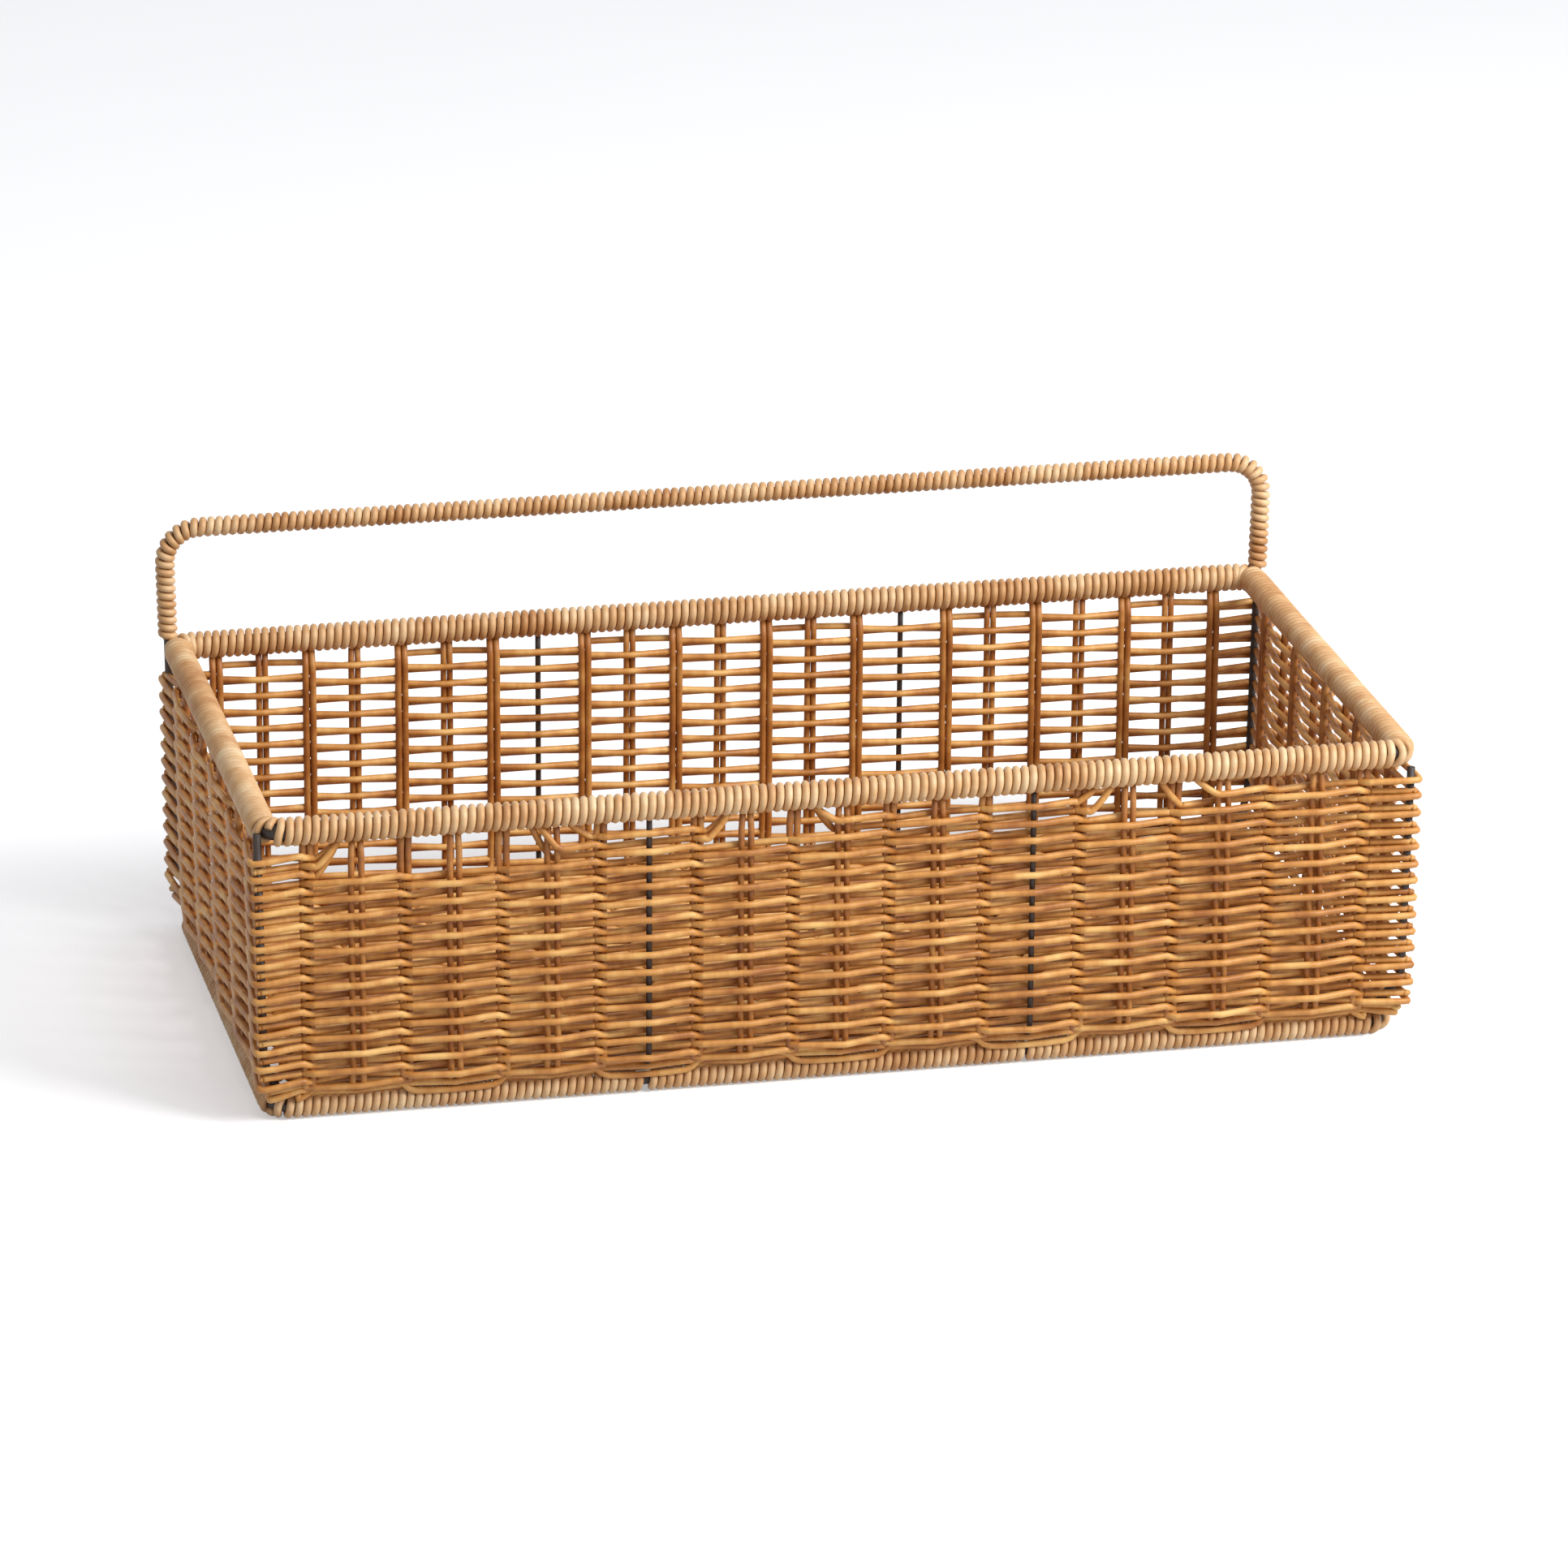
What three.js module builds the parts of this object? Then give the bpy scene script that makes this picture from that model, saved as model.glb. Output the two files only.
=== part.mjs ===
// Wall basket: a welded wire frame with a fixed hanging hoop, woven with round plastic cane.
// Millimetres, +Z up. X runs left to right, Y front to back, and the origin is on the ground
// under the middle of the basket.

import * as THREE from 'three';

// Body
const bodyLength = 396;        // corner post to corner post at the rim
const bodyDepth = 192.8;       // front posts to rear posts
const rimHeight = 104.4;       // centreline of the rim wire above the ground
const endLean = 1.5;           // how far each end wall leans in from the rim to the ground
const clearance = 0.3;         // between pieces that touch or are welded

// Frame wires
const rimWireDiameter = 5.6;
const baseWireDiameter = 4;
const hoopWireDiameter = 2.8;  // the hoop, the rear posts in one with it, and the front posts
const crossWireDiameter = 2;
const frameCornerRadius = 6;   // centreline radius of the rim and base wires at their corners
const baseInsetEnds = 3.5;     // base wire inside the foot of the end walls
const baseInsetSides = 6.9;    // base wire inside the front and rear walls
const postFootRise = 18;       // height over which a post's foot bends in to the base wire
const hoopRise = 43.5;         // hoop bar above the rim wire
const hoopBendRadius = 12;

// Cane
const wrapThickness = 1.9;     // of the cane wound round the rim, base and hoop wires
const bareCorner = 8;          // wire left bare at a corner, measured along the wire
const stakeDiameter = 3.2;     // doubled cane that stands in the walls and lies in the floor
const weftDiameter = 2.4;      // single cane woven through the stakes
const wallFootRadius = 8;      // centreline radius where a stake turns from wall to floor
const lowestRowHeight = 12.5;  // lowest weft row above the ground
const rimToTopRow = 10;        // top weft row below the rim wire
const rowCount = 14;
const crossGaps = 24;          // spaces between the stakes along the length
const lengthGaps = 10;         // spaces between the stakes across the depth
const wireEvery = 8;           // every eighth cross position holds a bare steel wire
const passesPerGap = 2;        // passes of the floor cane between two lengthwise stakes

// Number of faces round each section
const wireSides = 8;
const stakeSides = 5;
const weftSides = 5;
const wrapSides = 8;

// Number of straight stretches in each bend
const frameCornerSteps = 4;
const postFootSteps = 5;
const hoopBendSteps = 5;
const wallFootSteps = 4;
const floorTurnSteps = 3;      // in half of a turn of the floor cane
const rowCornerSteps = 2;

const steel = new THREE.MeshStandardMaterial({ color: 0x3b312b, roughness: 0.45, metalness: 0.9 });
const cane = new THREE.MeshStandardMaterial({ color: 0xc28a4e, roughness: 0.55, metalness: 0 });
const stakeCane = new THREE.MeshStandardMaterial({ color: 0xb0743a, roughness: 0.55, metalness: 0 });
const wrapCane = new THREE.MeshStandardMaterial({ color: 0xd9b384, roughness: 0.5, metalness: 0 });

// Sizes that follow from the ones above
const rimWireRadius = rimWireDiameter / 2;
const baseWireRadius = baseWireDiameter / 2;
const postRadius = hoopWireDiameter / 2;
const stakeRadius = stakeDiameter / 2;
const weftRadius = weftDiameter / 2;
const rimWrapRadius = rimWireRadius + clearance + wrapThickness;
const baseWrapRadius = baseWireRadius + clearance + wrapThickness;
const hoopWrapRadius = postRadius + clearance + wrapThickness;
const baseWireHeight = baseWrapRadius;
const stakeTop = rimHeight - rimWrapRadius - clearance;
const floorStakeHeight = baseWireHeight + baseWrapRadius + clearance + stakeRadius;
const stakePitch = bodyLength / crossGaps;
const lengthStakePitch = bodyDepth / lengthGaps;

const xAxis = new THREE.Vector3(1, 0, 0);
const yAxis = new THREE.Vector3(0, 1, 0);
const zAxis = new THREE.Vector3(0, 0, 1);
const point = (x, y, z) => new THREE.Vector3(x, y, z);

// Half the length of the body at a height: the end walls, posts and hoop legs share one lean.
function halfLengthAt(height) {
  return bodyLength / 2 - endLean * (1 - height / rimHeight);
}

// A weft passes a stake on a slant, so its centreline peaks a little further out than it touches.
function weaveOffset() {
  const touching = stakeRadius + weftRadius + clearance;
  const steepest = Math.atan(2 * touching / stakePitch);
  return touching / Math.cos(steepest);
}
const weftOffset = weaveOffset();

// The rim wire's rounded corner lies against a post that stands in the plane of the long wall.
const cornerReach = frameCornerRadius + rimWireRadius + postRadius + clearance;
const rimToPost = Math.sqrt(cornerReach ** 2 - frameCornerRadius ** 2) - frameCornerRadius;
const rimHalfLength = bodyLength / 2 - rimToPost;
const rimHalfDepth = bodyDepth / 2;
const baseHalfLength = halfLengthAt(0) - baseInsetEnds;
const baseHalfDepth = bodyDepth / 2 - baseInsetSides;

// Points of a quarter turn that starts in one direction from its centre and ends in another.
function quarterTurn(centre, from, to, radius, steps) {
  const points = [];
  for (let step = 0; step <= steps; step += 1) {
    const angle = step / steps * Math.PI / 2;
    points.push(centre.clone()
      .addScaledVector(from, radius * Math.cos(angle))
      .addScaledVector(to, radius * Math.sin(angle)));
  }
  return points;
}

// The ring of section points round one point of a path.
function sectionRing(centre, along, side, radius, sides) {
  const across = side.clone().addScaledVector(along, -side.dot(along)).normalize();
  const up = new THREE.Vector3().crossVectors(along, across);
  const ring = [];
  for (let index = 0; index < sides; index += 1) {
    const angle = (index + 0.5) / sides * 2 * Math.PI;
    ring.push(centre.clone()
      .addScaledVector(across, radius * Math.cos(angle))
      .addScaledVector(up, radius * Math.sin(angle)));
  }
  return ring;
}

// Directions of a path at its points: the mean of the two stretches that meet there.
function directionsAlong(path, closed) {
  return path.map((here, index) => {
    const last = path.length - 1;
    const next = path[closed ? (index + 1) % path.length : Math.min(index + 1, last)];
    const before = path[closed ? (index + last) % path.length : Math.max(index - 1, 0)];
    const ahead = next.clone().sub(here).normalize();
    const behind = here.clone().sub(before).normalize();
    return ahead.add(behind).normalize();
  });
}

// A closed body swept along a path, solid or, with a bore, an open sleeve.
function sweptBody(path, { radius, sides, side, closed = false, bore = 0 }) {
  const directions = directionsAlong(path, closed);
  const ringsOf = (size) => path.map((here, index) => (
    sectionRing(here, directions[index], side, size, sides)));
  const outer = ringsOf(radius);
  const inner = bore > 0 ? ringsOf(bore) : [];
  const positions = [];
  [...outer, ...inner].flat().forEach((corner) => positions.push(corner.x, corner.y, corner.z));

  const faces = [];
  const rings = path.length;
  const boreStart = rings * sides;
  const corner = (ring, index) => (ring % rings) * sides + index % sides;
  const innerCorner = (ring, index) => boreStart + corner(ring, index);
  const spans = closed ? rings : rings - 1;
  for (let ring = 0; ring < spans; ring += 1) {
    for (let index = 0; index < sides; index += 1) {
      const near = corner(ring, index);
      const nearNext = corner(ring, index + 1);
      const far = corner(ring + 1, index);
      const farNext = corner(ring + 1, index + 1);
      faces.push(near, nearNext, farNext, near, farNext, far);
      if (bore > 0) {
        faces.push(near + boreStart, farNext + boreStart, nearNext + boreStart);
        faces.push(near + boreStart, far + boreStart, farNext + boreStart);
      }
    }
  }
  if (!closed) {
    const end = rings - 1;
    for (let index = 0; index < sides; index += 1) {
      if (bore > 0) {
        faces.push(corner(end, index), corner(end, index + 1), innerCorner(end, index + 1));
        faces.push(corner(end, index), innerCorner(end, index + 1), innerCorner(end, index));
        faces.push(corner(0, index), innerCorner(0, index + 1), corner(0, index + 1));
        faces.push(corner(0, index), innerCorner(0, index), innerCorner(0, index + 1));
      } else if (index > 0 && index < sides - 1) {
        faces.push(corner(end, 0), corner(end, index), corner(end, index + 1));
        faces.push(corner(0, 0), corner(0, index + 1), corner(0, index));
      }
    }
  }
  const geometry = new THREE.BufferGeometry();
  geometry.setAttribute('position', new THREE.Float32BufferAttribute(positions, 3));
  geometry.setIndex(faces);
  geometry.computeVertexNormals();
  return geometry;
}

const basket = new THREE.Group();

function addPiece(name, material, path, shape) {
  const mesh = new THREE.Mesh(sweptBody(path, shape), material);
  mesh.name = name;
  basket.add(mesh);
}

function addRod(name, material, path, diameter, sides, side) {
  addPiece(name, material, path, { radius: diameter / 2, sides, side });
}

// A wrap is a sleeve whose flats, not its edges, lie on the wound surface.
function addWrap(name, path, wrapRadius, side) {
  const edge = 1 / Math.cos(Math.PI / wrapSides);
  addPiece(name, wrapCane, path, {
    radius: wrapRadius * edge,
    bore: (wrapRadius - wrapThickness) * edge,
    sides: wrapSides,
    side,
  });
}

const twoDigits = (number) => String(number).padStart(2, '0');

// The four corners of a rectangular wire, front right first, each turning the wire by a quarter.
function frameCorners(halfLength, halfDepth, height) {
  const turns = [
    [1, -1, yAxis.clone().negate(), xAxis],
    [1, 1, xAxis, yAxis],
    [-1, 1, yAxis, xAxis.clone().negate()],
    [-1, -1, xAxis.clone().negate(), yAxis.clone().negate()],
  ];
  return turns.map(([right, rear, from, to]) => {
    const centre = point(
      right * (halfLength - frameCornerRadius),
      rear * (halfDepth - frameCornerRadius),
      height,
    );
    return quarterTurn(centre, from, to, frameCornerRadius, frameCornerSteps);
  });
}

// Rim wire and base wire: rectangles of round steel wire with bent corners.
const rimCorners = frameCorners(rimHalfLength, rimHalfDepth, rimHeight);
const baseCorners = frameCorners(baseHalfLength, baseHalfDepth, baseWireHeight);
addPiece('rim_wire', steel, rimCorners.flat(), {
  radius: rimWireRadius, sides: wireSides, side: zAxis, closed: true,
});
addPiece('base_wire', steel, baseCorners.flat(), {
  radius: baseWireRadius, sides: wireSides, side: zAxis, closed: true,
});

// A post's foot, from the base wire up: it stands on the wire's corner and bends out to the wall.
function postFoot(right, rear) {
  const diagonal = frameCornerRadius * (1 - Math.SQRT1_2);
  const footX = baseHalfLength - diagonal;
  const footY = baseHalfDepth - diagonal;
  const footBottom = baseWireHeight + baseWireRadius + clearance;
  const bendBottom = footBottom + postRadius;
  const points = [point(right * footX, rear * footY, footBottom)];
  for (let step = 0; step <= postFootSteps; step += 1) {
    const rise = step / postFootSteps;
    const outward = rise * rise * (3 - 2 * rise);
    const height = bendBottom + rise * postFootRise;
    const x = footX + outward * (halfLengthAt(height) - footX);
    const y = footY + outward * (bodyDepth / 2 - footY);
    points.push(point(right * x, rear * y, height));
  }
  return points;
}

// Hanger: rear posts and hoop bent from one wire, so the hoop is fixed.
const hoopHeight = rimHeight + hoopRise;
const hoopHalfLength = halfLengthAt(hoopHeight);
function hoopBend(right) {
  const centre = point(
    right * (hoopHalfLength - hoopBendRadius),
    bodyDepth / 2,
    hoopHeight - hoopBendRadius,
  );
  return quarterTurn(centre, point(right, 0, 0), zAxis, hoopBendRadius, hoopBendSteps);
}
addRod(
  'hanger_wire',
  steel,
  [...postFoot(-1, 1), ...hoopBend(-1), ...hoopBend(1).reverse(), ...postFoot(1, 1).reverse()],
  hoopWireDiameter,
  wireSides,
  yAxis,
);

// Front posts. The left one is welded beside the bare rim corner, and the wrap covers the right one.
addRod(
  'front_post_left',
  steel,
  [...postFoot(-1, -1), point(-halfLengthAt(rimHeight), -bodyDepth / 2, rimHeight)],
  hoopWireDiameter,
  wireSides,
  yAxis,
);
addRod(
  'front_post_right',
  steel,
  [...postFoot(1, -1), point(halfLengthAt(stakeTop), -bodyDepth / 2, stakeTop)],
  hoopWireDiameter,
  wireSides,
  yAxis,
);

// Cross stakes run down the front wall, over the base wrap and up the rear wall.
function crossPath(x, radius) {
  const floor = baseWireHeight + baseWrapRadius + clearance + radius;
  const turnY = bodyDepth / 2 - wallFootRadius;
  const turnZ = floor + wallFootRadius;
  const foot = (rear) => quarterTurn(
    point(x, rear * turnY, turnZ),
    point(0, rear, 0),
    zAxis.clone().negate(),
    wallFootRadius,
    wallFootSteps,
  );
  return [
    point(x, -bodyDepth / 2, stakeTop),
    ...foot(-1),
    ...foot(1).reverse(),
    point(x, bodyDepth / 2, stakeTop),
  ];
}
let crossStakeCount = 0;
let crossWireCount = 0;
for (let position = 1; position < crossGaps; position += 1) {
  const x = position * stakePitch - bodyLength / 2;
  if (position % wireEvery === 0) {
    crossWireCount += 1;
    addRod(
      `cross_wire_${twoDigits(crossWireCount)}`,
      steel,
      crossPath(x, crossWireDiameter / 2),
      crossWireDiameter,
      stakeSides,
      xAxis,
    );
  } else {
    crossStakeCount += 1;
    addRod(
      `cross_stake_${twoDigits(crossStakeCount)}`,
      stakeCane,
      crossPath(x, stakeRadius),
      stakeDiameter,
      stakeSides,
      xAxis,
    );
  }
}

// Lengthwise stakes rest on the base wrap at the ends, and rise at half a right angle just
// before the first cross stake to lie over all of these.
const overStakeHeight = floorStakeHeight + stakeDiameter + clearance;
function lengthHalf(y, right) {
  const turnZ = floorStakeHeight + wallFootRadius;
  const turnX = halfLengthAt(turnZ) - wallFootRadius;
  const riseEnd = bodyLength / 2 - stakePitch + stakeRadius;
  const riseStart = riseEnd + overStakeHeight - floorStakeHeight;
  const foot = quarterTurn(
    point(right * turnX, y, turnZ),
    point(right, 0, 0),
    zAxis.clone().negate(),
    wallFootRadius,
    wallFootSteps,
  );
  return [
    point(right * halfLengthAt(stakeTop), y, stakeTop),
    ...foot,
    point(right * riseStart, y, floorStakeHeight),
    point(right * riseEnd, y, overStakeHeight),
  ];
}
for (let position = 1; position < lengthGaps; position += 1) {
  const y = position * lengthStakePitch - bodyDepth / 2;
  addRod(
    `length_stake_${twoDigits(position)}`,
    stakeCane,
    [...lengthHalf(y, -1), ...lengthHalf(y, 1).reverse()],
    stakeDiameter,
    stakeSides,
    yAxis,
  );
}

// Floor cane: one strand laid to and fro over the cross stakes, beside the lengthwise ones.
const passSpacing = lengthStakePitch / (passesPerGap + 1);
function passY(pass) {
  const slot = pass + passesPerGap - 1;
  const gap = Math.floor(slot / passesPerGap);
  return gap * lengthStakePitch + (slot % passesPerGap + 1) * passSpacing - bodyDepth / 2;
}
function floorPath() {
  const height = floorStakeHeight + stakeRadius + clearance + weftRadius;
  const reach = halfLengthAt(height) - wallFootRadius - passSpacing;
  const lastPass = passesPerGap * (lengthGaps - 1) - 1;
  const path = [point(reach, passY(0), height)];
  for (let pass = 0; pass < lastPass; pass += 1) {
    const right = pass % 2 === 0 ? -1 : 1;
    const turnRadius = (passY(pass + 1) - passY(pass)) / 2;
    const centre = point(right * reach, passY(pass) + turnRadius, height);
    const outward = point(right, 0, 0);
    path.push(
      ...quarterTurn(centre, yAxis.clone().negate(), outward, turnRadius, floorTurnSteps),
      ...quarterTurn(centre, outward, yAxis, turnRadius, floorTurnSteps).slice(1),
    );
  }
  const endSide = lastPass % 2 === 0 ? -1 : 1;
  path.push(point(endSide * reach, passY(lastPass), height));
  return path;
}
addRod('floor_weave', cane, floorPath(), weftDiameter, weftSides, zAxis);

// The walls turn in at the foot, so a low weft row is set in and leans with the stakes.
function wallTurn(height) {
  const fall = Math.max(0, floorStakeHeight + wallFootRadius - height);
  const facing = Math.asin(Math.min(1, fall / wallFootRadius));
  return {
    inset: wallFootRadius * (1 - Math.cos(facing)),
    outward: Math.cos(facing),
    down: Math.sin(facing),
  };
}

// One weft row: a closed ring that goes behind one stake and in front of the next. All rows
// take the same side of a stake, and all pass outside the corner posts.
function weftPath(height) {
  const turn = wallTurn(height);
  const halfLength = halfLengthAt(height) - turn.inset;
  const halfDepth = bodyDepth / 2 - turn.inset;
  const outset = weftOffset * turn.outward;
  const drop = weftOffset * turn.down;
  const path = [];
  const longWall = (rear, position, side) => {
    const x = position * stakePitch - bodyLength / 2;
    path.push(point(x, rear * (halfDepth + side * outset), height - side * drop));
  };
  const endWall = (right, position, side) => {
    const y = position * lengthStakePitch - bodyDepth / 2;
    path.push(point(right * (halfLength + side * outset), y, height - side * drop));
  };
  const corner = (right, rear, from, to) => {
    const centre = point(right * halfLength, rear * halfDepth, height - drop);
    path.push(...quarterTurn(centre, from, to, outset, rowCornerSteps));
  };
  for (let position = 1; position < crossGaps; position += 1) {
    longWall(-1, position, position % 2 === 0 ? -1 : 1);
  }
  corner(1, -1, yAxis.clone().negate(), xAxis);
  for (let position = 1; position < lengthGaps; position += 1) {
    endWall(1, position, position % 2 === 0 ? 1 : -1);
  }
  corner(1, 1, xAxis, yAxis);
  for (let position = crossGaps - 1; position > 0; position -= 1) {
    longWall(1, position, position % 2 === 0 ? 1 : -1);
  }
  corner(-1, 1, yAxis, xAxis.clone().negate());
  for (let position = lengthGaps - 1; position > 0; position -= 1) {
    endWall(-1, position, position % 2 === 0 ? 1 : -1);
  }
  corner(-1, -1, xAxis.clone().negate(), yAxis.clone().negate());
  return path;
}
const topRowHeight = rimHeight - rimToTopRow;
for (let row = 0; row < rowCount; row += 1) {
  const height = lowestRowHeight + row / (rowCount - 1) * (topRowHeight - lowestRowHeight);
  addPiece(`weft_row_${twoDigits(row + 1)}`, cane, weftPath(height), {
    radius: weftRadius, sides: weftSides, side: zAxis, closed: true,
  });
}

// Rim wraps. The front one goes on round the right corner, and the other corners stay bare.
addWrap(
  'rim_wrap_front',
  [
    point(bareCorner - rimHalfLength, -rimHalfDepth, rimHeight),
    ...rimCorners[0],
    point(rimHalfLength, rimHalfDepth - bareCorner, rimHeight),
  ],
  rimWrapRadius,
  zAxis,
);
addWrap(
  'rim_wrap_left',
  [
    point(-rimHalfLength, rimHalfDepth - bareCorner, rimHeight),
    point(-rimHalfLength, bareCorner - rimHalfDepth, rimHeight),
  ],
  rimWrapRadius,
  zAxis,
);
addWrap(
  'rim_wrap_rear',
  [
    point(rimHalfLength - bareCorner, rimHalfDepth, rimHeight),
    point(bareCorner - rimHalfLength, rimHalfDepth, rimHeight),
  ],
  rimWrapRadius,
  zAxis,
);

// Base wraps: one on each side of the base wire, with the corners bare where the posts stand.
for (const [name, rear] of [['base_wrap_front', -1], ['base_wrap_rear', 1]]) {
  addWrap(
    name,
    [-1, 1].map((right) => (
      point(right * (baseHalfLength - bareCorner), rear * baseHalfDepth, baseWireHeight))),
    baseWrapRadius,
    zAxis,
  );
}
for (const [name, right] of [['base_wrap_left', -1], ['base_wrap_right', 1]]) {
  addWrap(
    name,
    [-1, 1].map((rear) => (
      point(right * baseHalfLength, rear * (baseHalfDepth - bareCorner), baseWireHeight))),
    baseWrapRadius,
    zAxis,
  );
}

// Hanger wrap: from just above the rim, up one leg, along the bar and down the other.
const legWrapFoot = rimHeight + rimWireRadius + clearance;
addWrap(
  'hanger_wrap',
  [
    point(-halfLengthAt(legWrapFoot), bodyDepth / 2, legWrapFoot),
    ...hoopBend(-1),
    ...hoopBend(1).reverse(),
    point(halfLengthAt(legWrapFoot), bodyDepth / 2, legWrapFoot),
  ],
  hoopWrapRadius,
  yAxis,
);

export default basket;
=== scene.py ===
import math
import random

import bmesh
import bpy
import numpy as np
from mathutils import Matrix, Vector


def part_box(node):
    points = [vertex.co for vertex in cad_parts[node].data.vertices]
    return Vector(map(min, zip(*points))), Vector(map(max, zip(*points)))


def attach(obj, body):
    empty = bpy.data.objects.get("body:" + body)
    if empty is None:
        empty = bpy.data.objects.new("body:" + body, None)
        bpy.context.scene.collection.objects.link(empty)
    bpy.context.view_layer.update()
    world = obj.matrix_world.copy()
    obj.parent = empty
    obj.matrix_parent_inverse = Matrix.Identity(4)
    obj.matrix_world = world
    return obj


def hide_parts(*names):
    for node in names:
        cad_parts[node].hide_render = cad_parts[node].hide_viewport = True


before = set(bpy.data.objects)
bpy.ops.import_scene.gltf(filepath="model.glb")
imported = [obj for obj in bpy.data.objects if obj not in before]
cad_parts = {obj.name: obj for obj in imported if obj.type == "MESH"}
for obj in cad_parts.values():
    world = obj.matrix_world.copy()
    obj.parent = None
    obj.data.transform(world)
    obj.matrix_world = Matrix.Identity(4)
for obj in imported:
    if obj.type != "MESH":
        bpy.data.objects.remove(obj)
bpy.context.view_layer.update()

scene = bpy.context.scene
scene.view_settings.view_transform = "Standard"
MM = 0.001

# The camera of the photograph: a long lens that looks down on the basket from the front, a little
# to the left. Its angles and distance come from the frame's corners in the photograph.
lens_length = 188.05
view_azimuth = math.radians(-12.84)
view_elevation = math.radians(19.94)
view_roll = math.radians(0.42)
view_distance = 2830.8 * MM
aim_height = 84.2 * MM
aim_right = -1.6 * MM
aim_up = 10.4 * MM

camera_turn = (
    Matrix.Rotation(view_azimuth, 4, "Z")
    @ Matrix.Rotation(math.pi / 2 - view_elevation, 4, "X")
    @ Matrix.Rotation(view_roll, 4, "Z")
)
camera_place = Vector((0, 0, aim_height)) + camera_turn @ Vector((-aim_right, -aim_up, view_distance))
camera_data = bpy.data.cameras.new("photo_camera")
camera_data.sensor_width = 36
camera_data.lens = lens_length
camera_data.clip_end = 20
camera = bpy.data.objects.new("photo_camera", camera_data)
camera.matrix_world = Matrix.Translation(camera_place) @ camera_turn
scene.collection.objects.link(camera)
scene.camera = camera

# The studio: a matt white paper sweep under the basket, a soft lamp at the right of the camera, a
# weaker one overhead, and an even white room. To the camera the paper glows a little, so that it
# stays white where the lamps fall off, and it still takes the basket's shadow.
paper_size = 6.0
paper_glow_strength = 0.36
room_strength = 0.4


def linear(hex_colour, alpha=1.0):
    """An sRGB hex colour as the linear colour that a shader takes."""
    channels = [int(hex_colour[start:start + 2], 16) / 255 for start in (1, 3, 5)]
    return [c / 12.92 if c <= 0.04045 else ((c + 0.055) / 1.055) ** 2.4 for c in channels] + [alpha]


def add_node(tree, kind, settings=None, inputs=None):
    """Adds a node, sets its properties, and sets or links its inputs."""
    node = tree.nodes.new(kind)
    for name, value in (settings or {}).items():
        setattr(node, name, value)
    for name, value in (inputs or {}).items():
        if isinstance(value, bpy.types.NodeSocket):
            tree.links.new(value, node.inputs[name])
        else:
            node.inputs[name].default_value = value
    return node


paper = bpy.data.materials.new("matt white paper")
paper.use_nodes = True
paper_tree = paper.node_tree
paper_tree.nodes.clear()
paper_path = add_node(paper_tree, "ShaderNodeLightPath")
paper_seen = add_node(paper_tree, "ShaderNodeMath", {"operation": "MAXIMUM"}, {
    0: paper_path.outputs["Is Camera Ray"],
    1: paper_path.outputs["Is Glossy Ray"],
})
paper_seen_all = add_node(paper_tree, "ShaderNodeMath", {"operation": "MAXIMUM"}, {
    0: paper_seen.outputs[0],
    1: paper_path.outputs["Is Transmission Ray"],
})
paper_sheen = add_node(paper_tree, "ShaderNodeTexNoise", {}, {"Scale": 40.0, "Detail": 4.0})
paper_tone = add_node(paper_tree, "ShaderNodeMix", {"data_type": "RGBA"}, {
    "Factor": paper_sheen.outputs["Fac"],
    "A": linear("#F4F4F4"),
    "B": linear("#F8F8F8"),
})
paper_matt = add_node(paper_tree, "ShaderNodeBsdfDiffuse", {}, {"Color": paper_tone.outputs["Result"]})
paper_glow = add_node(paper_tree, "ShaderNodeEmission", {}, {
    "Color": linear("#FFFFFF"), "Strength": paper_glow_strength,
})
paper_bounce = add_node(paper_tree, "ShaderNodeBsdfDiffuse", {}, {"Color": linear("#C6C5C3")})
paper_bright = add_node(paper_tree, "ShaderNodeAddShader", {}, {
    0: paper_matt.outputs[0],
    1: paper_glow.outputs[0],
})
paper_mix = add_node(paper_tree, "ShaderNodeMixShader", {}, {
    0: paper_seen_all.outputs[0],
    1: paper_bounce.outputs[0],
    2: paper_bright.outputs[0],
})
add_node(paper_tree, "ShaderNodeOutputMaterial", {}, {"Surface": paper_mix.outputs[0]})

sweep = bmesh.new()
bmesh.ops.create_grid(sweep, x_segments=1, y_segments=1, size=paper_size)
sweep_mesh = bpy.data.meshes.new("paper_floor")
sweep.to_mesh(sweep_mesh)
sweep.free()
sweep_mesh.materials.append(paper)
floor = bpy.data.objects.new("paper_floor", sweep_mesh)
scene.collection.objects.link(floor)

room = bpy.data.worlds.new("white room")
scene.world = room
room.use_nodes = True
room_tree = room.node_tree
room_tree.nodes.clear()
room_path = add_node(room_tree, "ShaderNodeLightPath")
room_seen = add_node(room_tree, "ShaderNodeMath", {"operation": "MAXIMUM"}, {
    0: room_path.outputs["Is Camera Ray"],
    1: room_path.outputs["Is Glossy Ray"],
})
room_seen_all = add_node(room_tree, "ShaderNodeMath", {"operation": "MAXIMUM"}, {
    0: room_seen.outputs[0],
    1: room_path.outputs["Is Transmission Ray"],
})
room_light = add_node(room_tree, "ShaderNodeBackground", {}, {
    "Color": linear("#F6F8FF"), "Strength": room_strength,
})
room_white = add_node(room_tree, "ShaderNodeBackground", {}, {
    "Color": linear("#FFFFFF"), "Strength": 1.0,
})
room_mix = add_node(room_tree, "ShaderNodeMixShader", {}, {
    0: room_seen_all.outputs[0],
    1: room_light.outputs[0],
    2: room_white.outputs[0],
})
add_node(room_tree, "ShaderNodeOutputWorld", {}, {"Surface": room_mix.outputs[0]})


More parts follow.
